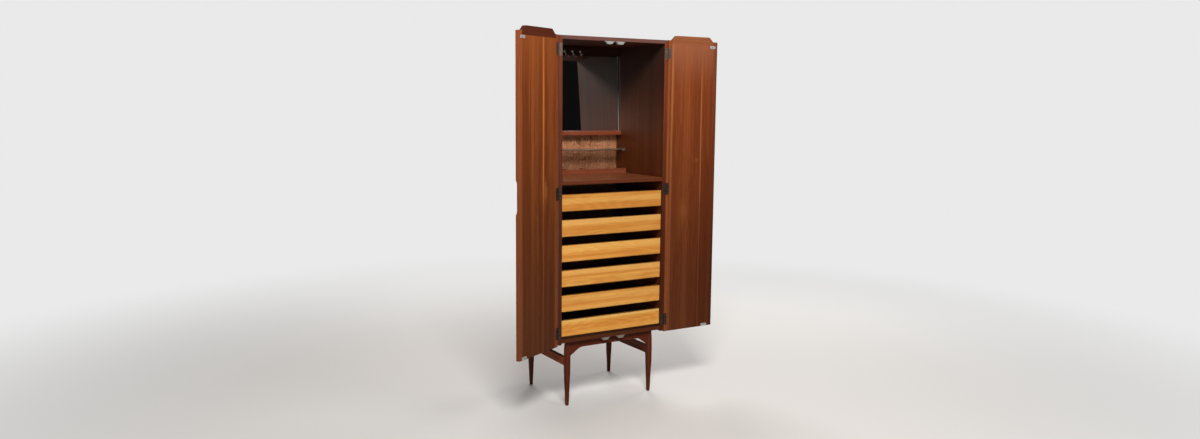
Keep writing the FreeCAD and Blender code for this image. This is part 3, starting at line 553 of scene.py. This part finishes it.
# Where each family's grain starts in the pattern, and the step from one board to the next
seeds = {"board": (1.0, 1.37), "front": (41.0, 1.7), "box": (63.0, 2.3), "door": (0.0, 1.9)}


def seedOf(family, step):
    first, gap = seeds[family]
    return first + step * gap


for step, (nodeName, (wood, along, changes)) in enumerate(boardFinishes.items()):
    dress(nodeName, woodFinish(
        nodeName + "Wood", {**woods[wood], **changes}, along, seed=seedOf("board", step)))

# Each drawer front is cut from another board. Its streaks are (share of its height, width in
# metres, strength, tone), from the bottom edge up.
drawers = {
    1: {"gain": 1.04, "streaks": ((0.22, 0.016, 0.55, "red"), (0.62, 0.018, 0.30, "pale"))},
    2: {"gain": 1.07, "streaks": ((0.86, 0.022, 0.70, "pale"), (0.48, 0.014, 0.45, "red"))},
    3: {"gain": 1.21, "streaks": ((0.30, 0.020, 0.25, "red"), (0.78, 0.024, 0.35, "pale"))},
    4: {"gain": 1.14, "streaks": ((0.62, 0.010, 0.60, "red"), (0.85, 0.020, 0.50, "pale"))},
    5: {"gain": 1.18, "streaks": ((0.34, 0.013, 0.60, "red"), (0.70, 0.022, 0.35, "pale"))},
    6: {"gain": 1.28, "streaks": ((0.93, 0.010, 0.80, "pale"), (0.40, 0.016, 0.20, "red"))},
}
for number, drawer in drawers.items():
    low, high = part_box(f"drawer_front_{number}")
    streaks = [(-(low.z + share * (high.z - low.z)), *rest) for share, *rest in drawer["streaks"]]
    dress(f"drawer_front_{number}", woodFinish(
        f"drawerFront{number}", woods["drawerFront"], "x", seed=seedOf("front", number), streaks=streaks,
        gain=drawer["gain"], rim=(low.z, high.z)))
    dress(f"drawer_box_{number}", woodFinish(
        f"drawerBox{number}", woods["drawerBox"], "y", seed=seedOf("box", number)))

# Doors: the panel's streaks are (metres from the pivot, width, strength, tone, and the fades of one
# that runs out: the share that is left, and the heights where it is down to that share and full),
# and its knots are (metres from the pivot, height, width, length, pull)
doors = {
    "left": {"turn": -math.radians(152.7), "seed": 81.0, "panel": "leftPanel", "crest": "darkCrest",
             "free": "paleStilePaintedLight", "knots": ((0.105, 1.07, 0.020, 0.060, 0.8),),
             "streaks": ((0.120, 0.0070, 1.0, "bright", (0.35, 0.93, 1.12)), (0.205, 0.014, 0.40, "light"))},
    "right": {"turn": math.pi, "seed": 97.0, "panel": "rightPanel", "crest": "lightCrest", "free": "redStile",
              "knots": ((-0.115, 0.93, 0.022, 0.055, 0.9), (-0.190, 1.19, 0.009, 0.012, 0.9)),
              "streaks": ((-0.2145, 0.0055, 0.95, "bright", (0.0, 1.85, 1.35), (0.38, 0.90, 1.08)),
                          (-0.120, 0.018, 0.35, "light"), (-0.030, 0.007, 0.75, "bright"))},
}
for side, door in doors.items():
    pivot = tuple(hinges[f"door_{side}"]["pos_m"])
    door["pivot"] = pivot
    pieces = {
        "door_panel": (door["panel"], "z", door["streaks"], door["knots"]),
        "hinge_stile": ("hingeStile", "z", (), ()), "free_stile": (door["free"], "z", (), ()),
        "crest_rail": (door["crest"], "x", (), ()),
    }
    for step, (piece, (wood, along, streaks, knots)) in enumerate(pieces.items()):
        dress(f"{piece}_{side}", woodFinish(
            f"{piece}{side}", woods[wood], along, pivot, door["turn"], door["seed"] + seedOf("door", step),
            streaks, knots))
    for piece in (f"hinge_leaves_{side}_door", f"hinge_leaves_{side}_cabinet", f"hinge_pins_{side}"):
        dress(piece, metals[f"hingeNickel_{side}"])
    dress(f"hinge_screws_{side}_door", metals["screwSteel"])
    dress(f"strike_plates_{side}", metals["strikeZinc"])
for piece, metal in {
    "hinge_screws_cabinet": "screwSteel", "base_screws": "screwSteel", "catches_top": "catchNickel",
    "catches_bottom": "catchNickelPaintedShade", "shelf_studs": "catchNickel", "tie_hooks": "hookChrome",
}.items():
    dress(piece, metals[metal])

mirrorLow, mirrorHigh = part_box("mirror")
dress("mirror", mirrorFinish("silveredPlate", (mirrorHigh.x - mirrorLow.x) / 2, mirrorLow.z, mirrorHigh.z))
glassLow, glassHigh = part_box("glass_shelf")
dress("glass_shelf", glassFinish("clearPlate", glassLow.z, glassHigh.z))
print("finishes on every piece")


# Eased edges: a hand-planed round along every edge that stands free. An edge that lies on a
# neighbour is a glue line and stays sharp. Radii, reaches and lengths are in metres.
easing = {
    "radius": 0.0008, "touch": 0.00015, "sharp": math.radians(40), "segments": 2,
    "weld": 2e-6, "flat": math.radians(0.5), "shadeAngle": math.radians(38), "flatWeight": 90,
    "shortest": {"free_stile": 0.020},
    "softer": {"leg": 0.0016, "apron": 0.0014, "side_rail": 0.0014, "drawer_front": 0.0010,
               "mirror_ledge": 0.0012, "centre_shelf": 0.0011, "tray": 0.0007, "catches": 0.0006,
               "hinge_leaves": 0.0002, "glass_shelf": 0.0005},
}
bodyOf = {name: body for body, names in frame["record"]["behaviour"]["bodies"].items() for name in names}


def solidOf(nodeName):
    # A merged copy of the node's mesh, with flat faces made whole again
    solid = bmesh.new()
    solid.from_mesh(nodes[nodeName].data)
    bmesh.ops.remove_doubles(solid, verts=solid.verts, dist=easing["weld"])
    bmesh.ops.dissolve_limit(solid, angle_limit=easing["flat"], verts=solid.verts, edges=solid.edges)
    return solid


def easedPiece(nodeName, surroundings):
    def chosen(values, usual):
        return next((value for word, value in values.items() if nodeName.startswith(word)), usual)

    radius, shortest = chosen(easing["softer"], easing["radius"]), chosen(easing["shortest"], 0.0)
    solid = solidOf(nodeName)
    free = [not edge.is_manifold or (
        edge.calc_face_angle(0.0) > easing["sharp"] and edge.calc_length() > shortest
        and surroundings.find_nearest((edge.verts[0].co + edge.verts[1].co) / 2, easing["touch"])[0] is None)
        for edge in solid.edges]
    mesh = bpy.data.meshes.new(nodeName + "Eased")
    solid.to_mesh(mesh)
    solid.free()
    weights = mesh.attributes.new("bevel_weight_edge", "FLOAT", "EDGE")
    weights.data.foreach_set("value", np.array(free, dtype=np.float32))
    mesh.materials.append(nodes[nodeName].data.materials[0])
    mesh.shade_smooth()
    mesh.set_sharp_from_angle(angle=easing["shadeAngle"])
    piece = bpy.data.objects.new(nodeName + "_eased", mesh)
    bpy.context.collection.objects.link(piece)
    bevel = piece.modifiers.new("easing", "BEVEL")
    bevel.limit_method = "WEIGHT"
    bevel.width, bevel.segments = radius, easing["segments"]
    bevel.use_clamp_overlap = False
    normals = piece.modifiers.new("flatness", "WEIGHTED_NORMAL")
    normals.keep_sharp, normals.weight = True, easing["flatWeight"]
    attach(piece, bodyOf[nodeName])
    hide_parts(nodeName)


def nodeArrays(nodeName):
    # Every corner of a node, and its triangles as rows of corner numbers
    mesh = nodes[nodeName].data
    points = np.empty(3 * len(mesh.vertices))
    mesh.vertices.foreach_get("co", points)
    corners = np.empty(len(mesh.loops), dtype=np.int64)
    mesh.loops.foreach_get("vertex_index", corners)
    return points.reshape(-1, 3), corners.reshape(-1, 3)


def easeAll(nodeNames):
    for nodeName in nodeNames:
        points, faces, count = [], [], 0
        for other, body in bodyOf.items():
            if body == bodyOf[nodeName] and other != nodeName:
                corners, triangles = nodeArrays(other)
                points.append(corners)
                faces.append(triangles + count)
                count += len(corners)
        easedPiece(nodeName, BVHTree.FromPolygons(
            np.concatenate(points).tolist(), np.concatenate(faces).tolist(), all_triangles=True))


# Pieces made from grids: distances in metres, and the decimals that count when corners are
# compared. A piece on a door is drawn unturned and placed by (pivot, turn).
details = {"weld": 1e-6, "collapse": 1e-7, "shadeAngle": math.radians(32), "decimals": 6}
unturned = ((0.0, 0.0, 0.0), 0.0)


def turnedBy(points, pivot, turn):
    # Rotates points about the upright line through the pivot
    c, s = math.cos(turn), math.sin(turn)
    return (points - np.array(pivot)) @ np.array([[c, s, 0.0], [-s, c, 0.0], [0.0, 0.0, 1.0]]) + np.array(pivot)


def solidBoxes(nodeName, placed=unturned):
    # Corners of each separate solid, with the door's turn undone. Every point takes the least
    # label among the triangles it belongs to, over and over, until each solid has one label.
    pivot, turn = placed
    corners, triangles = nodeArrays(nodeName)
    points, same = np.unique(np.round(turnedBy(corners, pivot, -turn), details["decimals"]), axis=0,
                             return_inverse=True)
    triangles = same.reshape(-1)[triangles]
    labels = np.arange(len(points))
    while True:
        spread = labels.copy()
        np.minimum.at(spread, triangles.ravel(), np.repeat(labels[triangles].min(axis=1), 3))
        if (spread == labels).all():
            break
        labels = spread
    solids = [points[labels == label] for label in np.unique(labels)]
    return [(solid.min(axis=0), solid.max(axis=0)) for solid in solids]


def detailPiece(name, grids, material, body, replaced=()):
    # Grids of points, each row joined to the next, become one closed mesh
    points, faces, count = [], [], 0
    for grid in grids:
        rows, columns = grid.shape[:2]
        row, column = np.mgrid[0:rows - 1, 0:columns - 1]
        first = (row * columns + column).ravel() + count
        faces.append(np.stack([first, first + 1, first + columns + 1, first + columns], axis=1))
        points.append(grid.reshape(-1, 3))
        count += rows * columns
    mesh = bpy.data.meshes.new(name)
    mesh.from_pydata(np.concatenate(points).tolist(), [], np.concatenate(faces).tolist())
    solid = bmesh.new()
    solid.from_mesh(mesh)
    bmesh.ops.remove_doubles(solid, verts=solid.verts, dist=details["weld"])
    bmesh.ops.dissolve_degenerate(solid, edges=solid.edges, dist=details["collapse"])
    bmesh.ops.recalc_face_normals(solid, faces=solid.faces)
    solid.to_mesh(mesh)
    solid.free()
    mesh.materials.append(material)
    mesh.shade_smooth()
    mesh.set_sharp_from_angle(angle=details["shadeAngle"])
    piece = bpy.data.objects.new(name, mesh)
    bpy.context.collection.objects.link(piece)
    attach(piece, body)
    if replaced:
        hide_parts(*replaced)


# Slotted countersunk screws. Shares are of the head's radius.
screwShape = {
    "crownShare": 0.07, "slotHalfShare": 0.13, "slotDeepShare": 0.24, "shankShare": 0.48, "sinkShare": 0.40,
    "columns": 6, "rows": 9, "firstAngle": 0.5, "nextAngle": 2.4,
}


def screwGrids(radius, length):
    # Head: columns stand side by side across the slot, each running from rim to rim of the disc.
    # Its height is crown (1 - r^2 / R^2), dropped by the slot's depth between the slot's walls.
    # Body: the rim drawn in to the shank, along it and to a point.
    shape = screwShape
    slot = shape["slotHalfShare"] * radius
    side = np.linspace(-radius, -slot, shape["columns"])
    across = np.concatenate([side, [-slot, slot], -side[::-1]])
    sunk = np.zeros(len(across))
    sunk[shape["columns"]:shape["columns"] + 2] = shape["slotDeepShare"] * radius
    span = np.sqrt(np.maximum(radius ** 2 - across ** 2, 0.0))
    along = span[:, None] * np.sin(np.linspace(-quarterTurn, quarterTurn, shape["rows"]))[None, :]
    x = np.repeat(across[:, None], shape["rows"], axis=1)
    crown = shape["crownShare"] * radius * (1.0 - (x ** 2 + along ** 2) / radius ** 2)
    head = np.stack([x, along, crown - sunk[:, None]], axis=2)
    rim = np.concatenate([head[:, -1], head[::-1, 0], head[:1, -1]])
    shank = shape["shankShare"]
    levels = [(shank, shape["sinkShare"] * radius), (shank, length - 2 * shank * radius), (0.0, length)]
    rings = [rim] + [rim * (share, share, 0.0) - (0.0, 0.0, depth) for share, depth in levels]
    return [head, np.stack(rings)]


def screwSet(name, heads, outward, size, body, replaced=(), placed=unturned):
    # One screw at each head's middle, each with its slot at another angle. Its size is (head's
    # radius, length).
    grids = []
    outward = np.array(outward, dtype=float)
    level = np.array((1.0, 0.0, 0.0))
    for step, middle in enumerate(heads):
        angle = screwShape["firstAngle"] + step * screwShape["nextAngle"]
        u = level * math.cos(angle) + np.cross(outward, level) * math.sin(angle)
        basis = np.stack([u, np.cross(outward, u), outward])
        grids += [turnedBy(grid @ basis + np.array(middle), *placed) for grid in screwGrids(*size)]
    detailPiece(name, grids, metals["screwSteel"], body, replaced)


# Strike plates: stamped, with a rounded rim and a dished hole for one screw, in metres. The corner
# is the power of the plate's rounded rectangle, and a screw is (head's radius, length).
strike = {
    "corner": 7.0, "steps": 56, "rim": 0.00035, "rimCore": 0.3, "dish": 0.0041, "hole": 0.0029, "sink": 0.0008,
    "screw": (0.0027, 0.008), "screwSink": 0.0003,
}


def strikeGrid(low, high):
    # Rings run from the back's middle out over the rim and in again to the hole. A ring is a
    # rounded rectangle, sign(cos a) |cos a|^(2 / corner), or a circle of the radius given.
    angle = np.linspace(0.0, 4 * quarterTurn, strike["steps"] + 1)
    middle, half = (low + high) / 2, (high - low) / 2
    thick = high[1] - low[1]
    cosine, sine = np.cos(angle), np.sin(angle)
    power = 2.0 / strike["corner"]
    plate = np.stack([half[0] * np.sign(cosine) * np.abs(cosine) ** power,
                      half[2] * np.sign(sine) * np.abs(sine) ** power], axis=1)
    circle = np.stack([cosine, sine], axis=1)
    rim, core, floor = strike["rim"], strike["rimCore"], thick - strike["sink"]
    inset = [plate * (1.0 - step * rim / half[[0, 2]]) for step in (0.0, core, 1.0)]
    rings = [(plate * 0.0, 0.0), (inset[0], 0.0), (inset[0], thick - rim), (inset[1], thick - rim * core),
             (inset[2], thick), (circle * strike["dish"], thick), (circle * strike["hole"], floor),
             (circle * 0.0, floor)]
    return np.stack([np.stack([middle[0] + ring[:, 0], np.full(len(ring), low[1] + height),
                               middle[2] + ring[:, 1]], axis=1) for ring, height in rings])


def buildStrikes(side, door):
    body, plain, placed = f"door_{side}", f"strike_plates_{side}", (door["pivot"], door["turn"])
    boxes = solidBoxes(plain, placed)
    grids = [turnedBy(strikeGrid(low, high), *placed) for low, high in boxes]
    detailPiece(f"strike_plates_stamped_{side}", grids, metals["strikeZinc"], body, [plain])
    heads = [((low[0] + high[0]) / 2, high[1] - strike["screwSink"], (low[2] + high[2]) / 2)
             for low, high in boxes]
    screwSet(f"strike_screws_{side}", heads, (0, 1, 0), strike["screw"], body, (), placed)


# Screws that show: hinge screws, base screws and one at each end of a catch. A screw is (head's
# radius, length), in metres. A catch's two stand catchReach from its middle, under its flange.
screws = {"hinge": (0.0029, 0.013), "catch": (0.0021, 0.0026), "catchReach": 0.0230, "flange": 0.003}


def faceMiddles(nodeName, axis, top, placed=unturned):
    # The middle of the upper or lower face of each separate solid, along one axis
    middles = []
    for low, high in solidBoxes(nodeName, placed):
        middle = (low + high) / 2
        middle[axis] = high[axis] if top else low[axis]
        middles.append(middle)
    return middles


def buildScrews():
    plain = "hinge_screws_cabinet"
    screwSet("slotted_screws_cabinet", faceMiddles(plain, 1, False), (0, -1, 0), screws["hinge"],
             "cabinet", [plain])
    for side, door in doors.items():
        plain, placed = f"hinge_screws_{side}_door", (door["pivot"], door["turn"])
        screwSet(f"slotted_screws_{side}_door", faceMiddles(plain, 1, True, placed), (0, 1, 0), screws["hinge"],
                 f"door_{side}", [plain], placed)
    low, high = solidBoxes("base_screws")[0]
    screwSet("slotted_screws_base", faceMiddles("base_screws", 2, False), (0, 0, -1),
             ((high[0] - low[0]) / 2, high[2] - low[2]), "cabinet", ["base_screws"])
    heads = []
    for nodeName in ("catches_top", "catches_bottom"):
        for low, high in solidBoxes(nodeName):
            middle = (low + high) / 2
            heads += [(middle[0] + way * screws["catchReach"], middle[1], high[2] - screws["flange"])
                      for way in (-1, 1)]
    screwSet("catch_screws", heads, (0, 0, -1), screws["catch"], "cabinet")


# The studio: a plain pale floor that runs out into the background, one large soft key from the
# front left and above, and weaker lamps that keep the low, right-hand and rear parts readable.
# A lamp that isn't mirrored leaves no glare on a board seen nearly edge on. Polish mirrors a room
# that is pale behind the cabinet and dark in front of it but for one soft window; the pairs are the
# values between which each of its edges climbs. Lengths are in metres.
studio = {
    "floorSize": 80.0, "floorColour": (0.74, 0.72, 0.70), "floorBounce": (0.22, 0.207, 0.195),
    "background": (0.82, 0.82, 0.82), "floorRise": (1.3, 4.4), "behindRise": (0.0, 2.0), "worldFill": 0.085,
    "darkSide": 0.006, "paleSide": 0.14, "sideRise": (-0.25, 0.15), "window": 1.5,
    "windowLeft": (-0.24, -0.14), "windowRight": (0.06, 0.16), "windowFoot": (-0.02, 0.02),
    "windowHead": (0.45, 0.60),
}
lamps = {
    "key": {"place": (-1.60, -3.30, 3.95), "aim": (0.0, 0.0, 1.00), "size": (1.4, 1.1), "power": 178.0,
            "colour": (1.0, 0.975, 0.94)},
    "fill": {"place": (1.70, -3.30, 3.50), "aim": (0.1, 0.0, 0.90), "size": (1.8, 1.4), "power": 34.0,
             "colour": (0.95, 0.97, 1.0)},
    "low": {"place": (-3.40, -2.30, 0.62), "aim": (-0.2, 0.0, 0.35), "size": (1.4, 0.9), "power": 20.0,
            "colour": (1.0, 0.97, 0.93), "mirrored": False},
    "front": {"place": (-0.70, -4.20, 1.60), "aim": (0.0, 0.0, 0.65), "size": (1.6, 1.0), "power": 12.0,
              "colour": (1.0, 0.98, 0.95)},
    "side": {"place": (3.30, 0.90, 2.10), "aim": (0.3, 0.0, 1.00), "size": (1.6, 1.4), "power": 38.0,
             "colour": (1.0, 0.985, 0.96), "mirrored": False},
    "back": {"place": (1.20, 3.60, 3.00), "aim": (0.0, 0.0, 0.90), "size": (2.4, 2.0), "power": 110.0,
             "colour": (1.0, 1.0, 1.0), "mirrored": False},
}


def buildLamps():
    for name, values in lamps.items():
        lamp = bpy.data.lights.new(name, "AREA")
        lamp.shape = "RECTANGLE"
        lamp.size, lamp.size_y = values["size"]
        lamp.energy, lamp.color = values["power"], values["colour"]
        holder = bpy.data.objects.new(name, lamp)
        bpy.context.collection.objects.link(holder)
        holder.location = values["place"]
        holder.visible_glossy = values.get("mirrored", True)
        sight = Vector(values["aim"]) - Vector(values["place"])
        holder.rotation_euler = sight.to_track_quat("-Z", "Y").to_euler()


def lightRays(s):
    path = s.node("LightPath")
    rays = {socket.name: Signal(s, socket) for socket in path.socket.node.outputs}
    seen = s.maths("MAXIMUM", rays["Is Camera Ray"], rays["Is Transmission Ray"])
    return {"seen": seen, "glossy": rays["Is Glossy Ray"]}


def buildFloor():
    half = studio["floorSize"] / 2
    mesh = bpy.data.meshes.new("floor")
    corners = [(-half, -half, 0), (half, -half, 0), (half, half, 0), (-half, half, 0)]
    mesh.from_pydata(corners, [], [(0, 1, 2, 3)])
    floor = bpy.data.objects.new("floor", mesh)
    bpy.context.collection.objects.link(floor)
    # Pale to the eye, plainer to the light that bounces, and one with the background further out
    s = Shader(bpy.data.materials.new("paleFloor"))
    rays = lightRays(s)
    here = s.node("TexCoord", out=3)
    matt = s.node("BsdfDiffuse", None, {
        "Color": s.mix(rays["seen"], studio["floorBounce"], studio["floorColour"])})
    glow = s.node("Emission", None, {"Color": studio["background"], "Strength": 1.0})
    away = s.rise(s.length(here), *studio["floorRise"])
    behind = s.rise(s.parts(here)[1], *studio["behindRise"]) * rays["glossy"]
    shade = s.node("MixShader", None, {0: away * s.maths("MAXIMUM", rays["seen"], behind), 1: matt, 2: glow})
    s.node("OutputMaterial", None, {"Surface": shade})
    mesh.materials.append(s.holder)


def buildWorld():
    world = bpy.data.worlds.new("studioWorld")
    bpy.context.scene.world = world
    s = Shader(world)
    rays = lightRays(s)
    x, y, z = s.parts(s.node("TexCoord", out=0))
    backward = s.rise(y, *studio["sideRise"])
    aside = s.rise(x, *studio["windowLeft"]) * (1.0 - s.rise(x, *studio["windowRight"]))
    upright = s.rise(z, *studio["windowFoot"]) * (1.0 - s.rise(z, *studio["windowHead"]))
    window = (1.0 - backward) * aside * upright
    gloss = backward * (studio["paleSide"] - studio["darkSide"]) + studio["darkSide"]
    gloss = window * studio["window"] + gloss
    strength = rays["glossy"] * (gloss - studio["worldFill"]) + studio["worldFill"]
    strength = rays["seen"] + (1.0 - rays["seen"]) * strength
    shade = s.node("Background", None, {"Color": studio["background"], "Strength": strength})
    s.node("OutputWorld", None, {"Surface": shade})


# The camera stands front left of the cabinet, 1.48 m above the floor. Its place is measured from
# the middle of the cabinet's front, angles are in radians, focal and frameWidth in pixels of the
# frame, and the sensor's width is in millimetres.
camera = {
    "place": (-2.3390, -3.7637, 1.4810), "yaw": 0.5410, "pitch": 0.1283, "roll": 0.0091,
    "focal": 913.18, "frameWidth": 1200.0, "sensor": 36.0,
}


def buildCamera():
    yaw, pitch, roll = camera["yaw"], camera["pitch"], camera["roll"]
    level = Vector((math.sin(yaw), math.cos(yaw), 0.0))
    side = Vector((math.cos(yaw), -math.sin(yaw), 0.0))
    up = Vector((0.0, 0.0, 1.0))
    ahead = level * math.cos(pitch) - up * math.sin(pitch)
    over = up * math.cos(pitch) + level * math.sin(pitch)
    right = side * math.cos(roll) + over * math.sin(roll)
    top = over * math.cos(roll) - side * math.sin(roll)
    data = bpy.data.cameras.new("camera")
    data.sensor_width = camera["sensor"]
    data.lens = camera["focal"] / camera["frameWidth"] * camera["sensor"]
    holder = bpy.data.objects.new("camera", data)
    bpy.context.collection.objects.link(holder)
    x, y, z = camera["place"]
    turned = Matrix((right, top, -ahead)).transposed().to_4x4()
    holder.matrix_world = Matrix.Translation((x + cabinetMiddle, y + cabinetFront, z)) @ turned
    bpy.context.scene.camera = holder


woodenNodes = [*boardFinishes, *(f"{piece}_{side}" for piece in (
    "door_panel", "hinge_stile", "free_stile", "crest_rail") for side in doors),
    *(f"{piece}_{number}" for piece in ("drawer_front", "drawer_box") for number in range(1, 7))]
easeAll([*woodenNodes, "catches_top", "catches_bottom", "glass_shelf", *(
    f"hinge_leaves_{side}_{part}" for side in doors for part in ("cabinet", "door"))])
print("edges eased")
buildScrews()
for side, door in doors.items():
    buildStrikes(side, door)
print("screws and strike plates made")

buildFloor()
buildWorld()
buildLamps()
buildCamera()
bpy.context.scene.view_settings.view_transform = "Standard"
print("studio and camera ready")
